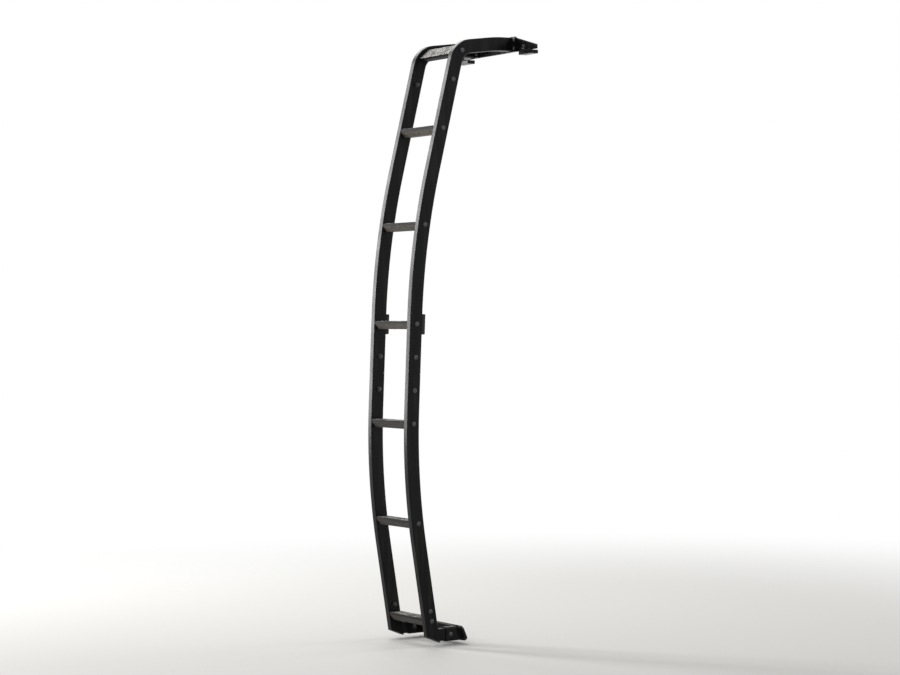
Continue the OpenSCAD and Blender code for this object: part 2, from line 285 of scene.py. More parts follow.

# %% [markdown]
# The slanted front and the underside of the treads get a painted reflection of a warm, bright ground below:
# a brownish grey on the faces that look down. The tread in the top bend gets none, which is painted shade
# there, and on the lower treads painted shade takes up to half of it away. It is worked out from where a
# spot is and which way it faces, so that it holds on every tread and from every side.

# %% Painted ground reflection and shade on the treads
REFLECTION_TOP = -0.15   # m, no painted reflection above this height: painted shade in the top bend
REFLECTION_FULL = -0.28  # m, where the painted reflection is whole
SHADE_LOW_FROM = -0.90   # m, where painted shade on the lower treads begins
SHADE_LOW_TO = -1.30     # m, below which half of the painted reflection is left


def painted_ground_reflection(tree, coords, lines, spots):
    """How much of a tread's skin the painted ground reflection covers, stronger in its spots and along its
    lines.
    """
    normal = add(tree, "ShaderNodeNewGeometry").outputs["Normal"]
    facing = add(tree, "ShaderNodeSeparateXYZ", links={"Vector": normal}).outputs["Z"]
    height = add(tree, "ShaderNodeSeparateXYZ", links={"Vector": coords}).outputs["Z"]
    # A painted reflection of the ground on the faces that look down.
    reflection_share = add(tree, "ShaderNodeMapRange", {"From Min": -0.25, "From Max": -0.55},
                {"Value": facing}).outputs["Result"]
    mottled = add(tree, "ShaderNodeMapRange",
                  {"From Min": 0.3, "From Max": 0.6, "To Min": 0.45, "To Max": 1.0}, {"Value": spots})
    caught = add(tree, "ShaderNodeMapRange",
                 {"From Min": 0.35, "From Max": 0.6, "To Min": 0.55, "To Max": 1.0}, {"Value": lines})
    # Painted shade in the top bend: above a height the reflection fades out.
    out_of_top_shade = add(tree, "ShaderNodeMapRange", {"From Min": REFLECTION_TOP, "From Max": REFLECTION_FULL},
                  {"Value": height})
    # Painted shade on the lower treads: below a height the reflection fades to half.
    left = add(tree, "ShaderNodeMapRange",
               {"From Min": SHADE_LOW_FROM, "From Max": SHADE_LOW_TO, "To Min": 1.0, "To Max": 0.5},
               {"Value": height})
    for share in (mottled, caught, out_of_top_shade, left):
        reflection_share = add(tree, "ShaderNodeMath", links={0: reflection_share, 1: share.outputs["Result"]},
                    operation="MULTIPLY").outputs[0]
    return reflection_share


# %% [markdown]
# The treads are extruded aluminium, anodised black. The dyed layer is thin, so the die lines of the
# extrusion show through it. Soles rub it off the teeth and dust settles on top. That gives the eye a dark
# nose over a brownish grey front, which is a painted reflection of the ground with painted shade further
# down, and a pale top on the highest tread, partly rubbed and partly a painted reflection of the sky. How
# much a point is rubbed is written into the mesh as an attribute, worn, when the teeth are made.

# %% Tread metal
DIE_LINE = 1.2      # mm between die lines, across the tread
DIE_LINE_RUN = 120  # mm that one line runs, along the tread
SOLE_WEAR = 30      # mm, the patches that soles have rubbed
DUST_AND_REFLECTION_SPOT = 9      # mm, the mottling of the dust and of the painted ground reflection
MOST_BARE = 0.9     # a trace of the dye stays in the dents of the metal


def tread_metal():
    material, tree, coords = new_material("black_anodised_aluminium")
    along = add(tree, "ShaderNodeMapping",
                {"Scale": (per_mm(DIE_LINE_RUN), per_mm(DIE_LINE), per_mm(DIE_LINE))}, {"Vector": coords})
    lines = add(tree, "ShaderNodeTexNoise", {"Scale": 1.0, "Detail": 3.0},
                {"Vector": along.outputs["Vector"]}).outputs["Fac"]
    patches = add(tree, "ShaderNodeTexNoise", {"Scale": per_mm(SOLE_WEAR), "Detail": 6.0},
                  {"Vector": coords}).outputs["Fac"]
    spots = add(tree, "ShaderNodeTexNoise", {"Scale": per_mm(DUST_AND_REFLECTION_SPOT), "Detail": 5.0, "Roughness": 0.65},
                {"Vector": coords}).outputs["Fac"]
    worn = add(tree, "ShaderNodeAttribute", attribute_name="worn").outputs["Fac"]
    rubbed = add(tree, "ShaderNodeMapRange", {"From Min": 0.40, "From Max": 0.58, "To Min": 0.20},
                 {"Value": patches})
    lost = add(tree, "ShaderNodeMath", links={0: worn, 1: rubbed.outputs["Result"]}, operation="MULTIPLY")
    bare = add(tree, "ShaderNodeMath", {1: MOST_BARE}, {0: lost.outputs[0]}, operation="MINIMUM").outputs[0]
    settled = add(tree, "ShaderNodeMapRange",
                  {"From Min": 0.3, "From Max": 0.7, "To Min": 0.25, "To Max": 0.75}, {"Value": spots})
    dust = add(tree, "ShaderNodeMath", links={0: upward(tree), 1: settled.outputs["Result"]},
               operation="MULTIPLY")
    # Dust on what faces up, and the painted ground reflection on what faces down.
    dust_and_reflection = add(tree, "ShaderNodeMath", operation="MAXIMUM",
               links={0: painted_ground_reflection(tree, coords, lines, spots), 1: dust.outputs[0]}).outputs[0]
    dyed = add(tree, "ShaderNodeMix", {"A": linear("#0c0c0d"), "B": linear("#1d1c1d")}, {"Factor": lines},
               data_type="RGBA")
    # 76706a is the colour of the dust and of the painted ground reflection.
    with_dust_and_reflection = add(tree, "ShaderNodeMix", {"B": linear("#76706a")},
                {"A": dyed.outputs["Result"], "Factor": dust_and_reflection}, data_type="RGBA")
    colour = add(tree, "ShaderNodeMix", {"B": linear("#b4b2ae")},
                 {"A": with_dust_and_reflection.outputs["Result"], "Factor": bare}, data_type="RGBA")
    rough = add(tree, "ShaderNodeMapRange",
                {"From Min": 0.3, "From Max": 0.7, "To Min": 0.50, "To Max": 0.68}, {"Value": lines})
    bump = add(tree, "ShaderNodeBump", {"Strength": 0.3, "Distance": 0.04 * MM}, {"Height": lines})
    return finish_with(material, tree, {"IOR": 1.5, "Specular IOR Level": 0.16},
                       {"Base Color": colour.outputs["Result"], "Roughness": rough.outputs["Result"],
                        "Metallic": bare, "Normal": bump.outputs["Normal"]})


TREAD = tread_metal()

# %% [markdown]
# The fasteners are steel, zinc plated and passivated black, so they hide on the black tubes. The layer is
# thin and a little uneven over the dents of the forged heads, and the eye reads dim grey dots with a soft
# glint.

# %% Fastener steel
FORGED_DENT = 1.5  # mm, the dents of a cold-forged head, drawn coarse enough to show


def fastener_steel():
    material, tree, coords = new_material("black_zinc_plated_steel")
    dents = add(tree, "ShaderNodeTexNoise", {"Scale": per_mm(FORGED_DENT), "Detail": 3.0}, {"Vector": coords})
    colour = add(tree, "ShaderNodeValToRGB", links={"Fac": dents.outputs["Fac"]})
    colour.color_ramp.elements[0].position = 0.3
    colour.color_ramp.elements[0].color = linear("#353536")
    colour.color_ramp.elements[1].position = 0.65
    colour.color_ramp.elements[1].color = linear("#616163")
    rough = add(tree, "ShaderNodeMapRange", {"To Min": 0.28, "To Max": 0.48}, {"Value": dents.outputs["Fac"]})
    bump = add(tree, "ShaderNodeBump", {"Strength": 0.2, "Distance": 0.03 * MM},
               {"Height": dents.outputs["Fac"]})
    return finish_with(material, tree, {"Metallic": 1.0},
                       {"Base Color": colour.outputs["Color"], "Roughness": rough.outputs["Result"],
                        "Normal": bump.outputs["Normal"]})


STEEL = fastener_steel()

# %% [markdown]
# The pads are moulded EPDM rubber and the foot caps moulded polyethylene. Both are nearly black, but rubber
# scatters light like chalk, while the plastic keeps a soft sheen from the fine sparked grain of its mould.

# %% Rubber and cap plastic
RUBBER_GRAIN = 1.8   # mm, the skin of the rubber
RUBBER_BLOOM = 25    # mm, pale patches where wax has come to the surface
PLASTIC_GRAIN = 1.0  # mm, the sparked grain, drawn coarse enough to show


def moulded(name, dark, pale, grain, patch, roughness, depth):
    """A moulded black surface: a grain in its skin and faint paler patches."""
    material, tree, coords = new_material(name)
    skin = add(tree, "ShaderNodeTexNoise", {"Scale": per_mm(grain), "Detail": 3.0}, {"Vector": coords})
    bloom = add(tree, "ShaderNodeTexNoise", {"Scale": per_mm(patch), "Detail": 5.0}, {"Vector": coords})
    colour = add(tree, "ShaderNodeMix", {"A": linear(dark), "B": linear(pale)},
                 {"Factor": bloom.outputs["Fac"]}, data_type="RGBA")
    rough = add(tree, "ShaderNodeMapRange", {"To Min": roughness - 0.08, "To Max": roughness + 0.08},
                {"Value": bloom.outputs["Fac"]})
    bump = add(tree, "ShaderNodeBump", {"Strength": 0.4, "Distance": depth * MM},
               {"Height": skin.outputs["Fac"]})
    return finish_with(material, tree, {"IOR": 1.5},
                       {"Base Color": colour.outputs["Result"], "Roughness": rough.outputs["Result"],
                        "Normal": bump.outputs["Normal"]})


RUBBER = moulded("moulded_epdm_rubber", "#131313", "#2c2b29", RUBBER_GRAIN, RUBBER_BLOOM, 0.78, 0.10)
PLASTIC = moulded("moulded_polyethylene", "#111214", "#1d1e20", PLASTIC_GRAIN, RUBBER_BLOOM, 0.48, 0.04)

# %% [markdown]
# Each finished piece gets its material and rides on the ladder's one body. A piece that stands for one of
# the frame's own hides it. A few of the frame's pieces already have the right shape, so they only get the
# finish.

# %% Handing a piece over
def hand_over(piece, material, slot, *stands_for):
    """Gives a piece its material and body, and hides the frame's pieces that it stands for. The slot is not
    used.
    """
    piece.data.materials.clear()
    piece.data.materials.append(material)
    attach(piece, BODY)
    if stands_for:
        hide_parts(*stands_for)
    return piece


def finish_node(name, material):
    """A piece of the frame whose shape is right keeps its mesh and gets a better finish."""
    for slot in frame["nodes"][name].material_slots:
        slot.material = material


# %% [markdown]
# The frame's own pieces tell where everything goes. A bolt hole shows as a ring of points in a flat face,
# so a ring's middle is a bolt's place. The function takes the points in one plane, groups those that lie
# close together and keeps the groups of the right radius.

# %% Finding holes
RING_STEP = 1.0 * MM   # neighbours on a hole's rim lie closer together than this
RING_TRUE = 0.1 * MM   # and no further than this from the radius
RING_POINTS = 12       # a hole's rim has more of them than this
IN_PLANE = 0.03 * MM   # a point this near to a plane lies in it


def points_of(node):
    """Copies of the points of one of the frame's pieces."""
    return [vertex.co.copy() for vertex in frame["nodes"][node].data.vertices]


def rings(node, point, normal, radius):
    """Middles of the round holes of a radius in the face through a point."""
    loose = [p for p in points_of(node) if abs((p - point).dot(normal)) < IN_PLANE]
    middles = []
    while loose:
        group = [loose.pop()]
        for member in group:
            close = [p for p in loose if (p - member).length < RING_STEP]
            loose = [p for p in loose if (p - member).length >= RING_STEP]
            group.extend(close)
        low = Vector(min(p[i] for p in group) for i in range(3))
        high = Vector(max(p[i] for p in group) for i in range(3))
        middle = (low + high) / 2
        if all(abs((p - middle).length - radius) < RING_TRUE for p in group) and len(group) > RING_POINTS:
            middles.append(middle)
    return sorted(middles, key=lambda p: (round(-p.z, 4), p.x))


SIDES = {"left": -1, "right": 1}
BOLT_HOLE = 4.25 * MM
stile_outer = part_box("stile_upper_right")[1].x
stile_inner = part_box("stile_upper_right")[0].x
cross_holes = []
for half in ("upper", "lower"):
    cross_holes += rings(f"stile_{half}_right", Vector((stile_outer, 0, 0)), Vector((1, 0, 0)), BOLT_HOLE)
print("bolt holes down a stile, in mm:", [(round(p.y / MM), round(p.z / MM)) for p in cross_holes])

# %% [markdown]
# A sawn or cast edge is never knife sharp, and the coat draws back from a sharp corner, so plates and
# blocks get soft edges. Each is a copy of the frame's own piece: its loose triangles are merged, flat areas
# are made one face again, and a bevel rounds what turns. That keeps every size and only changes how light
# meets the edge.

# %% A soft-edged copy
FLAT_WITHIN = 0.2  # degrees, faces that turn by less are parts of one flat face


def soft_copy(node, name, radius, material, slot, steps=2):
    """A copy of one of the frame's pieces, merged and with round edges, that stands for it."""
    piece = bpy.data.objects.new(name, frame["nodes"][node].data.copy())
    bpy.context.scene.collection.objects.link(piece)
    pick(piece, "polygons", lambda face: True)
    bpy.ops.mesh.remove_doubles(threshold=IN_PLANE)
    bpy.ops.mesh.dissolve_limited(angle_limit=math.radians(FLAT_WITHIN))
    done_editing()
    bpy.ops.mesh.customdata_custom_splitnormals_clear()
    soften(piece, radius, steps)
    modify(piece, "WEIGHTED_NORMAL", keep_sharp=True)
    print(name, "faces:", len(piece.data.polygons))
    return hand_over(piece, material, slot, node)


# %% [markdown]
# How soft an edge is tells how its piece was made: a lug is cast, a plate is milled, rubber and plastic
# come out of a mould, and a tube is only sawn and deburred. The inner sleeves show no edge, so the frame's
# own pieces stay and only get the finish.

# %% Soft-edged plates, blocks and tubes
PLATE_EDGE = 0.9 * MM
THIN_PLATE_EDGE = 0.8 * MM
CAST_EDGE = 1.5 * MM
RUBBER_EDGE = 0.7 * MM
PLASTIC_EDGE = 0.5 * MM
SAWN_EDGE = 0.3 * MM

soft_copy("rack_plate", "rack_plate_soft", PLATE_EDGE, COAT, "black_powder_coat")
soft_copy("sill_plate", "sill_plate_soft", THIN_PLATE_EDGE, COAT, "black_powder_coat")
soft_copy("sill_pad", "sill_pad_moulded", RUBBER_EDGE, RUBBER, "rubber")
for side in SIDES:
    soft_copy(f"rack_lug_{side}", f"rack_lug_{side}_soft", CAST_EDGE, COAT, "black_powder_coat", 3)
    soft_copy(f"arm_flange_{side}", f"arm_flange_{side}_soft", THIN_PLATE_EDGE, COAT, "black_powder_coat")
    soft_copy(f"foot_cap_{side}", f"foot_cap_{side}_moulded", PLASTIC_EDGE, PLASTIC, "cap_plastic")
    for node in ("stile_upper", "stile_lower", "foot_arm", "foot_shoe"):
        soft_copy(f"{node}_{side}", f"{node}_{side}_tube", SAWN_EDGE, COAT, "black_powder_coat", 1)
    finish_node(f"splice_sleeve_{side}", COAT)

# %% [markdown]
# A tread is one length of extrusion, sawn off between the stiles. Its ribs are rolled with a wheel after
# the press, which leaves rows of small teeth that bite a shoe sole. One tooth is a block whose top is made
# smaller, and two arrays repeat it, along a rib and from rib to rib.

# %% Ribs and teeth
FACES_UP = 0.9              # least height of the normal of a face that counts as level
TOOTH_PITCH = 5.0 * MM
TOOTH_LONG = 0.7            # share of the pitch that a tooth takes
TOOTH_WIDE = 0.9            # share of the rib's width
TOOTH_TOP = (0.35, 0.6, 1)  # its top against its foot
TOOTH_HIGH = 0.7 * MM       # above the rib
TOOTH_SUNK = 0.3 * MM       # inside it
TOOTH_END = 4 * MM          # plain rib left at each end of a tread

tread_low, tread_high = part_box("rung_1")
rib_edges = sorted({round(p.y, 5) for p in points_of("rung_1") if tread_high.z - p.z < IN_PLANE})
rib_w = rib_edges[1] - rib_edges[0]
rib_pitch = rib_edges[2] - rib_edges[0]
rib_count = len(rib_edges) // 2
print("ribs on a tread:", rib_count, "width in mm:", round(rib_w / MM, 2))


def tooth_rows():
    """Small teeth with narrow tops, in rows along the ribs."""
    run = tread_high.x - tread_low.x - 2 * TOOTH_END
    count = int(run / TOOTH_PITCH)
    start = tread_low.x + TOOTH_END + (run - (count - 1) * TOOTH_PITCH) / 2
    height = TOOTH_HIGH + TOOTH_SUNK
    tooth = block((TOOTH_LONG * TOOTH_PITCH, TOOTH_WIDE * rib_w, height),
                  (start, rib_edges[0] + rib_w / 2, tread_high.z - TOOTH_SUNK + height / 2))
    pick(tooth, "polygons", lambda face: face.normal.z > FACES_UP)
    bpy.ops.transform.resize(value=TOOTH_TOP)
    done_editing()
    modify(tooth, "ARRAY", count=count, use_relative_offset=False, use_constant_offset=True,
           constant_offset_displace=(TOOTH_PITCH, 0, 0))
    modify(tooth, "ARRAY", count=rib_count, use_relative_offset=False, use_constant_offset=True,
           constant_offset_displace=(0, rib_pitch, 0))
    return tooth


# %% [markdown]
# The first tread is made from the frame's own, softened, with the rows of teeth joined to it. Soles rub the
# dye off the teeth, less off the ribs and hardly any between them. That goes into the mesh as a number at
# each point, because a finish that followed the height alone would fail on the tread that is turned.

# %% The first tread
TREAD_EDGE = 0.35 * MM
RIB_WORN = 0.35     # share of the dye that soles rub off a rib, where a tooth loses all
GROOVE_WORN = 0.10  # share that goes between the ribs
groove_z = max(p.z for p in points_of("rung_1") if tread_high.z - p.z > IN_PLANE)

first_tread = soft_copy("rung_1", "rung_1_tread", TREAD_EDGE, TREAD, "tread_coat")
teeth = tooth_rows()
teeth.data.materials.append(TREAD)
joined("rung_1_tread", [first_tread, teeth])
worn = first_tread.data.attributes.new("worn", "FLOAT", "POINT")
for vertex in first_tread.data.vertices:
    above = vertex.co.z - tread_high.z
    if above > IN_PLANE:
        worn.data[vertex.index].value = 1.0
    elif above > -IN_PLANE:
        worn.data[vertex.index].value = RIB_WORN
    elif abs(vertex.co.z - groove_z) < IN_PLANE:
        worn.data[vertex.index].value = GROOVE_WORN
print("faces on a tread:", len(first_tread.data.polygons))

# %% [markdown]
# The other treads are the same extrusion, so they are copies. Where one goes is read from its node: the
# screw port is a ring in the sawn end, and the corner furthest from it shows how the tread is turned. Only
# the tread in the top bend is turned. Its wear is raised, partly as real wear and partly as a painted
# reflection of the sky that it faces, which makes it pale.

# %% The other treads
PORT_R = 3.4 * MM
END_FACE = Vector((tread_high.x, 0, 0))
TOP_WEAR_AND_SHEEN = 5.0  # times as much wear on the top tread, part of it a painted reflection of the sky


def tread_place(node):
    """Middle of the screw port, and the angle of the furthest corner about X."""
    port = rings(node, END_FACE, Vector((1, 0, 0)), PORT_R)[0]
    corner = max(points_of(node), key=lambda p: (p.y - port.y) ** 2 + (p.z - port.z) ** 2)
    return port, math.atan2(corner.z - port.z, corner.y - port.y)


home, home_turn = tread_place("rung_1")
for node in ["top_rung"] + [f"rung_{k}" for k in range(2, 7)]:
    port, turn = tread_place(node)
    place = (Matrix.Translation(port) @ Matrix.Rotation(turn - home_turn, 4, "X")
             @ Matrix.Translation(-home))
    tread = hand_over(copy_at(first_tread, f"{node}_tread", place), TREAD, "tread_coat", node)
    if node == "top_rung":
        # Painted reflection: the raised wear makes the top tread pale, as if it mirrored the sky.
        for point in tread.data.attributes["worn"].data:
            point.value *= TOP_WEAR_AND_SHEEN
    print(node, "port at, in mm:", round(port.y / MM, 1), round(port.z / MM, 1),
          "turned", round(math.degrees(turn - home_turn), 2))

# %% [markdown]
# The bolts across the stiles are M8 button heads: a low dome with a hexagon socket, which leaves nothing to
# catch a sleeve. The dome is the bevelled rim of a cylinder, and the socket is cut with a six-sided one.
# Its washer starts as a disc, whose two flat faces are inset and bridged through to make the hole.

# %% Button-head bolt and washer
M8_SHANK_R = 4.0 * MM
M8_BUTTON_R = 7.0 * MM
M8_BUTTON_H = 4.4 * MM
M8_SOCKET = 5.0 * MM    # across the flats
SOCKET_DEEP = 2.6 * MM
DOME_SHARE = 0.8        # of a head's height, the part that is rounded
WASHER_R = 8.0 * MM
WASHER_T = 1.6 * MM
WASHER_FIT = 0.3 * MM   # room round the shank
WASHER_EDGE = 0.25 * MM
TOP_EDGE = 0.9          # edges above this share of a height are its upper rim
FINE_EDGE = 0.2 * MM    # the broken edge of a forged head
SHANK_TIP = 0.6 * MM
SHANK_SIDES = 32


def across_flats(width):
    """Radius of a hexagon, at its corners."""
    return width / 2 / math.cos(math.pi / 6)


def washer(radius, thickness, hole):
    """A flat ring that lies on its seat at height 0."""
    ring = cylinder(radius, thickness)
    pick(ring, "polygons", lambda face: abs(face.normal.z) > FACES_UP)
    bpy.ops.mesh.inset(thickness=radius - hole)
    bpy.ops.mesh.bridge_edge_loops()
    done_editing()
    soften(ring, WASHER_EDGE)
    return ring


def shank(radius, length):
    """The part of a bolt in its hole, which starts inside the head."""
    rod = cylinder(radius, length + WASHER_T, -length, SHANK_SIDES)
    soften(rod, SHANK_TIP)
    return rod


def button_bolt(radius, height, socket, shank_r, shank_l, washer_r):
    """A bolt that points down from its seat at height 0, on its washer."""
    head = cylinder(radius, height, WASHER_T)
    top = WASHER_T + TOP_EDGE * height
    pick(head, "edges", lambda edge: all(head.data.vertices[v].co.z > top for v in edge.vertices))
    bpy.ops.mesh.bevel(offset=DOME_SHARE * height, segments=7, profile=0.55)
    done_editing()
    cut_with(head, cylinder(across_flats(socket), height, WASHER_T + height - SOCKET_DEEP, 6))
    soften(head, FINE_EDGE)
    ring = washer(washer_r, WASHER_T, shank_r + WASHER_FIT)
    return joined("button_bolt", [head, shank(shank_r, shank_l), ring])


# %% [markdown]
# Where a bolt goes right through, a lock nut closes it on the inner side: a hexagon with a round collar
# that holds a nylon ring. Hexagon nuts and bolt heads are turned before they are cut, so the corners end in
# a rounded chamfer. Here the hexagon keeps only what it shares with a bevelled disc.

# %% Lock nut and hexagon bolt
M8_FLATS = 13.0 * MM
M8_NUT_H = 6.0 * MM
NUT_COLLAR_H = 2.0 * MM
NUT_COLLAR_R = 0.46     # of the width across the flats
NUT_COLLAR_FIT = 0.4 * MM
BOLT_PAST = 2.5 * MM    # how far a bolt's end stands out of its nut
BOLT_TIP = 0.7 * MM
HEX_HEAD_H = 5.3 * MM
TURNED = 0.11           # of the width across the flats, what is turned off at a corner
DISC_SIDES = 64


def hexagon(flats, height, base, both_ends):
    """A hexagon prism with turned corners."""
    prism = cylinder(across_flats(flats), height, base, 6)
    disc = cylinder(across_flats(flats), height, base, DISC_SIDES)
    top = base + TOP_EDGE * height
    bottom = base + (1 - TOP_EDGE) * height

    def on_rim(edge):
        heights = [disc.data.vertices[v].co.z for v in edge.vertices]
        return min(heights) > top or (both_ends and max(heights) < bottom)

    pick(disc, "edges", on_rim)
    bpy.ops.mesh.bevel(offset=TURNED * flats, segments=3, profile=0.4)
    done_editing()
    cut_with(prism, disc, "INTERSECT")
    soften(prism, FINE_EDGE)
    return prism


def lock_nut(flats, height, shank_r, washer_r):
    """A nut on its washer, seated at height 0, with the end of the bolt standing out of it."""
    body = hexagon(flats, height, WASHER_T, True)
    collar = washer(NUT_COLLAR_R * flats, NUT_COLLAR_H, shank_r + NUT_COLLAR_FIT)
    collar.location.z = WASHER_T + height
    only(collar)
    bpy.ops.object.transform_apply()
    bolt_end = cylinder(shank_r, WASHER_T + height + NUT_COLLAR_H + BOLT_PAST, 0.0, SHANK_SIDES)
    soften(bolt_end, BOLT_TIP)
    ring = washer(washer_r, WASHER_T, shank_r + WASHER_FIT)
    return joined("lock_nut", [body, collar, bolt_end, ring])


def hex_bolt(flats, height, shank_r, shank_l, washer_r):
    """A hexagon bolt on its washer, seated at height 0 and pointing down."""
    head = hexagon(flats, height, WASHER_T, False)
    ring = washer(washer_r, WASHER_T, shank_r + WASHER_FIT)
    return joined("hex_bolt", [head, shank(shank_r, shank_l), ring])


# %% [markdown]
# A bolt is a copy of its pattern, turned so that its height points out of the surface. Each one stops at
# its own angle when it is tightened, so a small turn, different from hole to hole, keeps them from looking
# stamped.

# %% Placing fasteners
TIGHTENED = 37.0     # degrees from one fastener's stop to the next
RUNG_GRIP = 18 * MM  # how far a bolt reaches past the tube, into the tread's screw port


def fasten(pattern, name, where, outwards, index):
    """A copy of a fastener, seated at a place, with its head outwards."""
    turn = outwards.to_track_quat("Z", "Y").to_matrix().to_4x4()
    place = Matrix.Translation(where) @ turn @ Matrix.Rotation(math.radians(TIGHTENED * index), 4, "Z")
    return hand_over(copy_at(pattern, name, place), STEEL, "sleeve_metal")


tube_w = stile_outer - stile_inner
rung_spots = [tread_place(node)[0] for node in ["top_rung"] + [f"rung_{k}" for k in range(1, 7)]]
rung_bolt = button_bolt(M8_BUTTON_R, M8_BUTTON_H, M8_SOCKET, M8_SHANK_R, tube_w + RUNG_GRIP, WASHER_R)
through_bolt = button_bolt(M8_BUTTON_R, M8_BUTTON_H, M8_SOCKET, M8_SHANK_R, tube_w, WASHER_R)
nut = lock_nut(M8_FLATS, M8_NUT_H, M8_SHANK_R, WASHER_R)
for side, sign in SIDES.items():
    outwards = Vector((sign, 0, 0))
    for index, hole in enumerate(cross_holes, 1):
        outside = Vector((sign * stile_outer, hole.y, hole.z))
        inside = Vector((sign * stile_inner, hole.y, hole.z))
        in_rung = any(abs(hole.y - p.y) < MM and abs(hole.z - p.z) < MM for p in rung_spots)
        if in_rung:
            fasten(rung_bolt, f"rung_bolt_{side}_{index}", outside, outwards, index)
        else:
            fasten(through_bolt, f"through_bolt_{side}_{index}", outside, outwards, index)
            fasten(nut, f"lock_nut_{side}_{index}", inside, -outwards, index)
print("bolts across each stile:", len(cross_holes))

# %% [markdown]
# Each sleeve at the foot is clamped on its arm by one bolt, the same as those across the stiles. It goes
# through a hole in the sleeve's flat sides, and a ring there gives its place.

# %% Bolts through the foot sleeves
shoe_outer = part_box("foot_shoe_right")[1].x
shoe_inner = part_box("foot_shoe_right")[0].x
shoe_hole = rings("foot_shoe_right", Vector((shoe_outer, 0, 0)), Vector((1, 0, 0)), BOLT_HOLE)[0]
for side, sign in SIDES.items():
    outwards = Vector((sign, 0, 0))
    outside = Vector((sign * shoe_outer, shoe_hole.y, shoe_hole.z))
    inside = Vector((sign * shoe_inner, shoe_hole.y, shoe_hole.z))
    fasten(through_bolt, f"shoe_bolt_{side}", outside, outwards, sign)
    fasten(nut, f"shoe_nut_{side}", inside, -outwards, sign)
print("bolt through a foot sleeve, in mm:", round(shoe_hole.y / MM), round(shoe_hole.z / MM))

# %% [markdown]
# The rack plate is bolted on with hexagon heads, which a spanner reaches from the side in the little room
# there is. Rings in the plate's front face give their places.

# %% Bolts in the rack plate
OUT = Vector((0, -1, 0))
RAIL_HOLE = 4.5 * MM
RAIL_SHANK = 12 * MM
plate_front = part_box("rack_plate")[0].y
rail_bolt = hex_bolt(M8_FLATS, HEX_HEAD_H, M8_SHANK_R, RAIL_SHANK, WASHER_R)
rail_holes = rings("rack_plate", Vector((0, plate_front, 0)), OUT, RAIL_HOLE)
for index, hole in enumerate(rail_holes, 1):
    fasten(rail_bolt, f"rail_bolt_{index}", hole, OUT, index)
print("bolts in the rack plate:", len(rail_holes))

# %% [markdown]
# Each arm's flange is held on the rack plate by four small button screws, one near each corner, clear of
# the weld. They are the same kind of screw as across the stiles, M6 instead of M8, so one function makes
# both.

# %% Screws in the arm flanges
FLANGE_HOLE = 3.5 * MM
M6_BUTTON_R = 5.3 * MM
M6_BUTTON_H = 3.3 * MM
M6_SOCKET = 4.0 * MM
M6_SHANK_R = 3.0 * MM
M6_SHANK_L = 10 * MM
M6_WASHER_R = 6.2 * MM
flange_screw = button_bolt(M6_BUTTON_R, M6_BUTTON_H, M6_SOCKET, M6_SHANK_R, M6_SHANK_L, M6_WASHER_R)
flange_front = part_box("arm_flange_right")[0].y
for side in SIDES:
    holes = rings(f"arm_flange_{side}", Vector((0, flange_front, 0)), OUT, FLANGE_HOLE)
    for index, hole in enumerate(holes, 1):
        fasten(flange_screw, f"flange_screw_{side}_{index}", hole, OUT, index)
    print(f"screws in arm_flange_{side}:", len(holes))

# %% [markdown]
# The sill plate is slanted, and one hexagon bolt near each end holds it. Here the record of the part gives
# the place of each hole and the direction into it, and the heads sit on the plate's front face.

# %% Bolts in the sill plate
def reach(points, axis):
    """Lowest and highest distance of points along an axis."""
    along = [p.dot(axis) for p in points]
    return min(along), max(along)


mounts = {mount["name"]: mount for mount in frame["record"]["mounts"]}
sill_in = Vector(mounts["sill_face"]["axis"])
sill_front = reach(points_of("sill_plate"), sill_in)[0]
for side in SIDES:
    middle = Vector(mounts[f"sill_bolt_{side}"]["pos_m"])
    spot = middle + (sill_front - middle.dot(sill_in)) * sill_in
    fasten(rail_bolt, f"sill_bolt_{side}", spot, -sill_in, SIDES[side])
for pattern in (rung_bolt, through_bolt, nut, rail_bolt, flange_screw):
    bpy.data.objects.remove(pattern)
fasteners = [o for o in bpy.data.objects if any(kind in o.name for kind in ("bolt", "nut", "screw"))]
print("fasteners placed:", len(fasteners))

# %% [markdown]
# The tubes are welded to their flanges, the foot arms to the stiles and the sleeves to the sill plate,
# before the coat goes on. A hand-held torch lays one small pool over the next, which leaves a bead like a
# row of leaning coins. One coin is a flattened ball of few faces, because it is repeated hundreds of times.

# %% One coin of a weld bead
BEAD_STEP = 2.3 * MM     # from one pool to the next
BEAD_ACROSS = 2.5 * MM   # half the width of the bead
BEAD_ALONG = 2.0 * MM
BEAD_LEAN = 28.0         # degrees that each coin leans back
COIN_THIN = 0.55         # a coin's half thickness, against its step


def coin():
    """One pool of a bead, a flattened ball that leans back."""
    bpy.ops.object.select_all(action="DESELECT")
    bpy.ops.mesh.primitive_uv_sphere_add(segments=10, ring_count=6, radius=1)
    ball = bpy.context.active_object
    ball.scale = (COIN_THIN * BEAD_ALONG, BEAD_ACROSS, BEAD_ACROSS)
    ball.rotation_euler.y = math.radians(-BEAD_LEAN)
    only(ball)
    bpy.ops.object.transform_apply()
    bpy.ops.object.shade_smooth()
    return ball


# %% [markdown]
# A bead goes once round the tube, so its coins need places on a rounded rectangle. The function walks round
# it: a quarter circle at each corner, then a straight side, in steps of about one pool.

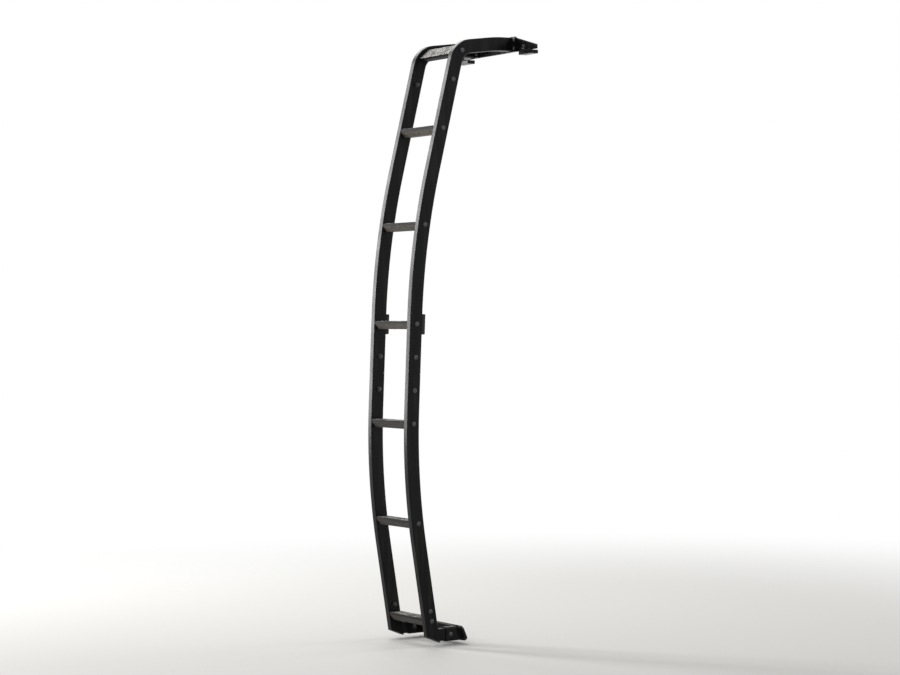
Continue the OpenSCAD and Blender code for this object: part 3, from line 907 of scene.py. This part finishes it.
# %% The rim of a tube
def rim(width, height, corner):
    """Points round a rounded rectangle, each with its direction of travel and the way out."""
    steps = []
    half = [width / 2 - corner, height / 2 - corner]
    centres = [(half[0], half[1]), (-half[0], half[1]), (-half[0], -half[1]), (half[0], -half[1])]
    for quarter, (cx, cy) in enumerate(centres):
        arc = max(2, round(math.pi / 2 * corner / BEAD_STEP))
        for k in range(arc):
            a = math.radians(90 * (quarter + k / arc))
            steps.append((cx + corner * math.cos(a), cy + corner * math.sin(a), a))
        a = math.radians(90 * (quarter + 1))
        side_l = 2 * half[quarter % 2]
        side_steps = max(1, round(side_l / BEAD_STEP))
        for k in range(side_steps):
            run = side_l * k / side_steps
            steps.append((cx + corner * math.cos(a) - run * math.sin(a),
                          cy + corner * math.sin(a) + run * math.cos(a), a))
    return steps


# %% [markdown]
# Copies of the coin follow the rim, and each leans back over the one before. No two pools are quite the
# same, so their size swells and shrinks a little. The coins are joined into one piece, which gets the coat.

# %% Laying a bead
COIN_SWELL = 0.07  # how much the coins differ in size
SWELL_TURN = 2.7   # radians from one coin to the next, so that no pattern repeats
TUBE_CORNER = 4.0 * MM


def bead(name, spots):
    """Coins at spots, each a middle, a direction of travel and the way out of the corner."""
    pattern = coin()
    coins = []
    for index, (middle, travel, out) in enumerate(spots):
        across = out.cross(travel).normalized()
        turn = Matrix((travel, across, out)).transposed().to_4x4()
        swell = Matrix.Scale(1 + COIN_SWELL * math.sin(SWELL_TURN * index), 4)
        coins.append(copy_at(pattern, f"coin_{index}", Matrix.Translation(middle) @ turn @ swell))
    bpy.data.objects.remove(pattern)
    piece = joined(name, coins)
    print(name, "coins:", len(spots))
    return hand_over(piece, COAT, "black_powder_coat")


def weld_round(name, centre, across, up, width, height):
    """A bead in the corner between a plate and the tube that stands on it."""
    away = across.cross(up).normalized()
    spots = []
    for x, y, a in rim(width, height, TUBE_CORNER):
        out = across * math.cos(a) + up * math.sin(a)
        travel = up * math.cos(a) - across * math.sin(a)
        spots.append((centre + across * x + up * y, travel, (out + away).normalized()))
    return bead(name, spots)


# %% [markdown]
# A bead needs the rim that it follows. The arm's rim is the tube's own section on the face of its flange.
# The ends of the foot arm and of its sleeve are slanted, so their rims run from the upper corner to the
# lower one.

# %% Welding the arms, the foot and the lugs
X = Vector((1, 0, 0))
UP = Vector((0, 0, 1))
LUG_WELD_IN = 1.2 * MM  # from the lug's front edge to the middle of its bead
tube_z = reach([p for p in points_of("stile_upper_right") if p.y > flange_front - MM], UP)


def slanted_end(node, far):
    """Middle and upward direction of a level tube's slanted end, near (-1) or far (1) from the stile."""
    points = points_of(node)
    low, high = reach(points, UP)
    top = max((p for p in points if high - p.z < IN_PLANE), key=lambda p: far * p.y)
    foot = max((p for p in points if p.z - low < IN_PLANE), key=lambda p: far * p.y)
    top.x = foot.x = (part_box(node)[0].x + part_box(node)[1].x) / 2
    return (top + foot) / 2, (top - foot).normalized(), (top - foot).length


for side, sign in SIDES.items():
    stile_x = sign * (stile_outer + stile_inner) / 2
    weld_round(f"arm_weld_{side}", Vector((stile_x, flange_front, (tube_z[0] + tube_z[1]) / 2)), X, UP,
               tube_w, tube_z[1] - tube_z[0])
    for node, name, far, across in (("foot_arm", "foot_weld", -1, -X), ("foot_shoe", "shoe_weld", 1, X)):
        low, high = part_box(f"{node}_{side}")
        middle, up, height = slanted_end(f"{node}_{side}", far)
        weld_round(f"{name}_{side}", middle, across, up, high.x - low.x, height)
    low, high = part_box(f"rack_lug_{side}")
    steps = round((high.x - low.x) / BEAD_STEP) - 2
    spots = [Vector((low.x + (k + 1.5) * BEAD_STEP, low.y + LUG_WELD_IN, high.z)) for k in range(steps)]
    bead(f"lug_weld_{side}", [(spot, X, OUT) for spot in spots])

# %% [markdown]
# The stand-off pads keep the stiles off what is behind them. Each is a moulded rubber block with round
# edges and three grooves across its face, which let it give a little and let water run off. The block is
# modelled lying flat at the origin, and then put where the frame's plain block is, turned along the stile.

# %% Stand-off pads
PAD_ROUND = 3.0 * MM
PAD_GROOVE_R = 1.8 * MM
PAD_GROOVES = 3
PAD_GROOVE_EDGE = 0.4 * MM
PAD_GROOVE_SIDES = 24

third_rung_hole, splice_hole = cross_holes[4:6]
along = (splice_hole - third_rung_hole).normalized()
inwards = along.cross(X)
inwards = inwards if inwards.y > 0 else -inwards
for side in SIDES:
    points = points_of(f"stand_off_pad_{side}")
    low_in, high_in = reach(points, inwards)
    low_along, high_along = reach(points, along)
    low_x, high_x = reach(points, X)
    length = high_along - low_along
    pad = block((high_x - low_x, length, high_in - low_in), (0, 0, 0))
    pick(pad, "edges", lambda edge: True)
    bpy.ops.mesh.bevel(offset=PAD_ROUND, segments=4, profile=0.5)
    done_editing()
    for k in range(PAD_GROOVES):
        groove = cylinder(PAD_GROOVE_R, 2 * (high_x - low_x), -(high_x - low_x), PAD_GROOVE_SIDES)
        groove.rotation_euler.y = math.pi / 2
        groove.location = (0, length * ((k + 1) / (PAD_GROOVES + 1) - 0.5), (high_in - low_in) / 2)
        cut_with(pad, groove)
    soften(pad, PAD_GROOVE_EDGE)
    middle = ((low_x + high_x) * X + (low_in + high_in) * inwards + (low_along + high_along) * along) / 2
    turn = Matrix((X, inwards.cross(X), inwards)).transposed().to_4x4()
    name = f"stand_off_pad_{side}_moulded"
    placed = copy_at(pad, name, Matrix.Translation(middle) @ turn)
    hand_over(placed, RUBBER, "rubber", f"stand_off_pad_{side}")
    print(name, "length in mm:", round(length / MM))
    bpy.data.objects.remove(pad)

# %% [markdown]
# In use the ladder hangs with its foot clear of everything. Here a studio floor lies just below it, so that
# the soft shadow of the foot is in the picture. It is painted pale close by, and fades into the white of
# the background further out.

# %% Floor and background
FLOOR_GAP = 10 * MM  # below the foot
FLOOR_R = 14.0       # m
FLOOR_SIDES = 96
SHADE_NEAR = 1.2     # m round the ladder where the floor is plain
SHADE_FAR = 3.5      # m at which it has faded to white


def seen(tree):
    """1 for the rays that show a background: from the camera, off a shiny face or through glass."""
    rays = add(tree, "ShaderNodeLightPath").outputs
    shown = add(tree, "ShaderNodeMath", links={0: rays["Is Camera Ray"], 1: rays["Is Glossy Ray"]},
                operation="MAXIMUM")
    return add(tree, "ShaderNodeMath", links={0: shown.outputs[0], 1: rays["Is Transmission Ray"]},
               operation="MAXIMUM").outputs[0]


def pale_floor():
    material, tree, coords = new_material("pale_floor_paint")
    distance = add(tree, "ShaderNodeVectorMath", {1: (1, 1, 0)}, {0: coords}, operation="MULTIPLY")
    radius = add(tree, "ShaderNodeVectorMath", links={0: distance.outputs[0]}, operation="LENGTH")
    fade = add(tree, "ShaderNodeMapRange", {"From Min": SHADE_NEAR, "From Max": SHADE_FAR},
               {"Value": radius.outputs["Value"]}, interpolation_type="SMOOTHSTEP")
    paint = add(tree, "ShaderNodeBsdfDiffuse", {"Color": linear("#e8e7e4")})
    white = add(tree, "ShaderNodeEmission", {"Color": linear("#ffffff"), "Strength": 1.0})
    share = add(tree, "ShaderNodeMath", links={0: seen(tree), 1: fade.outputs["Result"]},
                operation="MULTIPLY")
    mixed = add(tree, "ShaderNodeMixShader", links={0: share.outputs[0], 1: paint.outputs["BSDF"],
                                                     2: white.outputs["Emission"]})
    add(tree, "ShaderNodeOutputMaterial", links={"Surface": mixed.outputs["Shader"]})
    return material


bpy.ops.object.select_all(action="DESELECT")
floor_z = CAD_BOX[0][2] - FLOOR_GAP
bpy.ops.mesh.primitive_circle_add(vertices=FLOOR_SIDES, radius=FLOOR_R, fill_type="NGON",
                                  location=(0, 0, floor_z))
floor = bpy.context.active_object
floor.name = "studio_floor"
bpy.ops.object.transform_apply()
floor.data.materials.append(pale_floor())
print("floor at a height of", round(floor_z, 3), "m")

# %% [markdown]
# The light is that of a plain studio. A tall soft box at the left gives the narrow outer faces a bright
# line to mirror. It ends above the floor, so that line fades where the stiles tuck in. A second box hangs
# above for the tops of the treads. One behind and a weak one in front draw a thin line along the corners.
# The world adds a low, even level, and is white where the camera or a mirroring surface sees it.

# %% Light
WORLD_LEVEL = 0.35  # what the world gives to all that doesn't mirror it
MIDDLE = (0, -0.25, -0.95)


def soft_box(name, place, width, height, power):
    """An area light that faces the middle of the ladder."""
    lamp = bpy.data.lights.new(name, "AREA")
    lamp.shape = "RECTANGLE"
    lamp.size = width
    lamp.size_y = height
    lamp.energy = power
    holder = bpy.data.objects.new(name, lamp)
    bpy.context.scene.collection.objects.link(holder)
    holder.location = place
    holder.rotation_euler = (Vector(MIDDLE) - Vector(place)).to_track_quat("-Z", "Y").to_euler()
    print(name, "in watts:", power)


soft_box("sky_box", (-4.2, -2.7, 0.55), 0.85, 4.3, 185)
soft_box("top_box", (-2.7, 0.1, 2.6), 2.3, 2.3, 85)
soft_box("front_box", (3.6, -5.6, 1.4), 1.6, 3.0, 30)
soft_box("back_box", (1.4, 5.4, 1.4), 2.4, 3.0, 75)

world = bpy.data.worlds.new("studio")
bpy.context.scene.world = world
world.use_nodes = True
world.node_tree.nodes.clear()
level = add(world.node_tree, "ShaderNodeMapRange", {"To Min": WORLD_LEVEL, "To Max": 1.0},
            {"Value": seen(world.node_tree)})
sky = add(world.node_tree, "ShaderNodeBackground", {"Color": linear("#ffffff")},
          {"Strength": level.outputs["Result"]})
add(world.node_tree, "ShaderNodeOutputWorld", links={"Surface": sky.outputs["Background"]})

# %% [markdown]
# The camera stands where the photograph was taken from, 7.6 m away and about as high as the middle of the
# ladder, so that the ladder shows the same flanks and the same convergence. A longer lens frames it alone.

# %% Camera
CAMERA_AT = Vector((6.354, -4.377, -0.850))
AIM = Vector((0, -0.19, -0.965))
CAMERA_ROLL = -0.66  # degrees
LENS = 92.0          # mm
SENSOR = 36.0        # mm, its width

camera = bpy.data.cameras.new("camera")
camera.lens = LENS
camera.sensor_width = SENSOR
view_point = bpy.data.objects.new("camera", camera)
bpy.context.scene.collection.objects.link(view_point)
look = (AIM - CAMERA_AT).to_track_quat("-Z", "Y").to_matrix().to_4x4()
view_point.matrix_world = (Matrix.Translation(CAMERA_AT) @ look
                           @ Matrix.Rotation(math.radians(CAMERA_ROLL), 4, "Z"))
bpy.context.scene.camera = view_point
bpy.context.scene.view_settings.view_transform = "Standard"
print("camera to ladder, in m:", round((AIM - CAMERA_AT).length, 2))
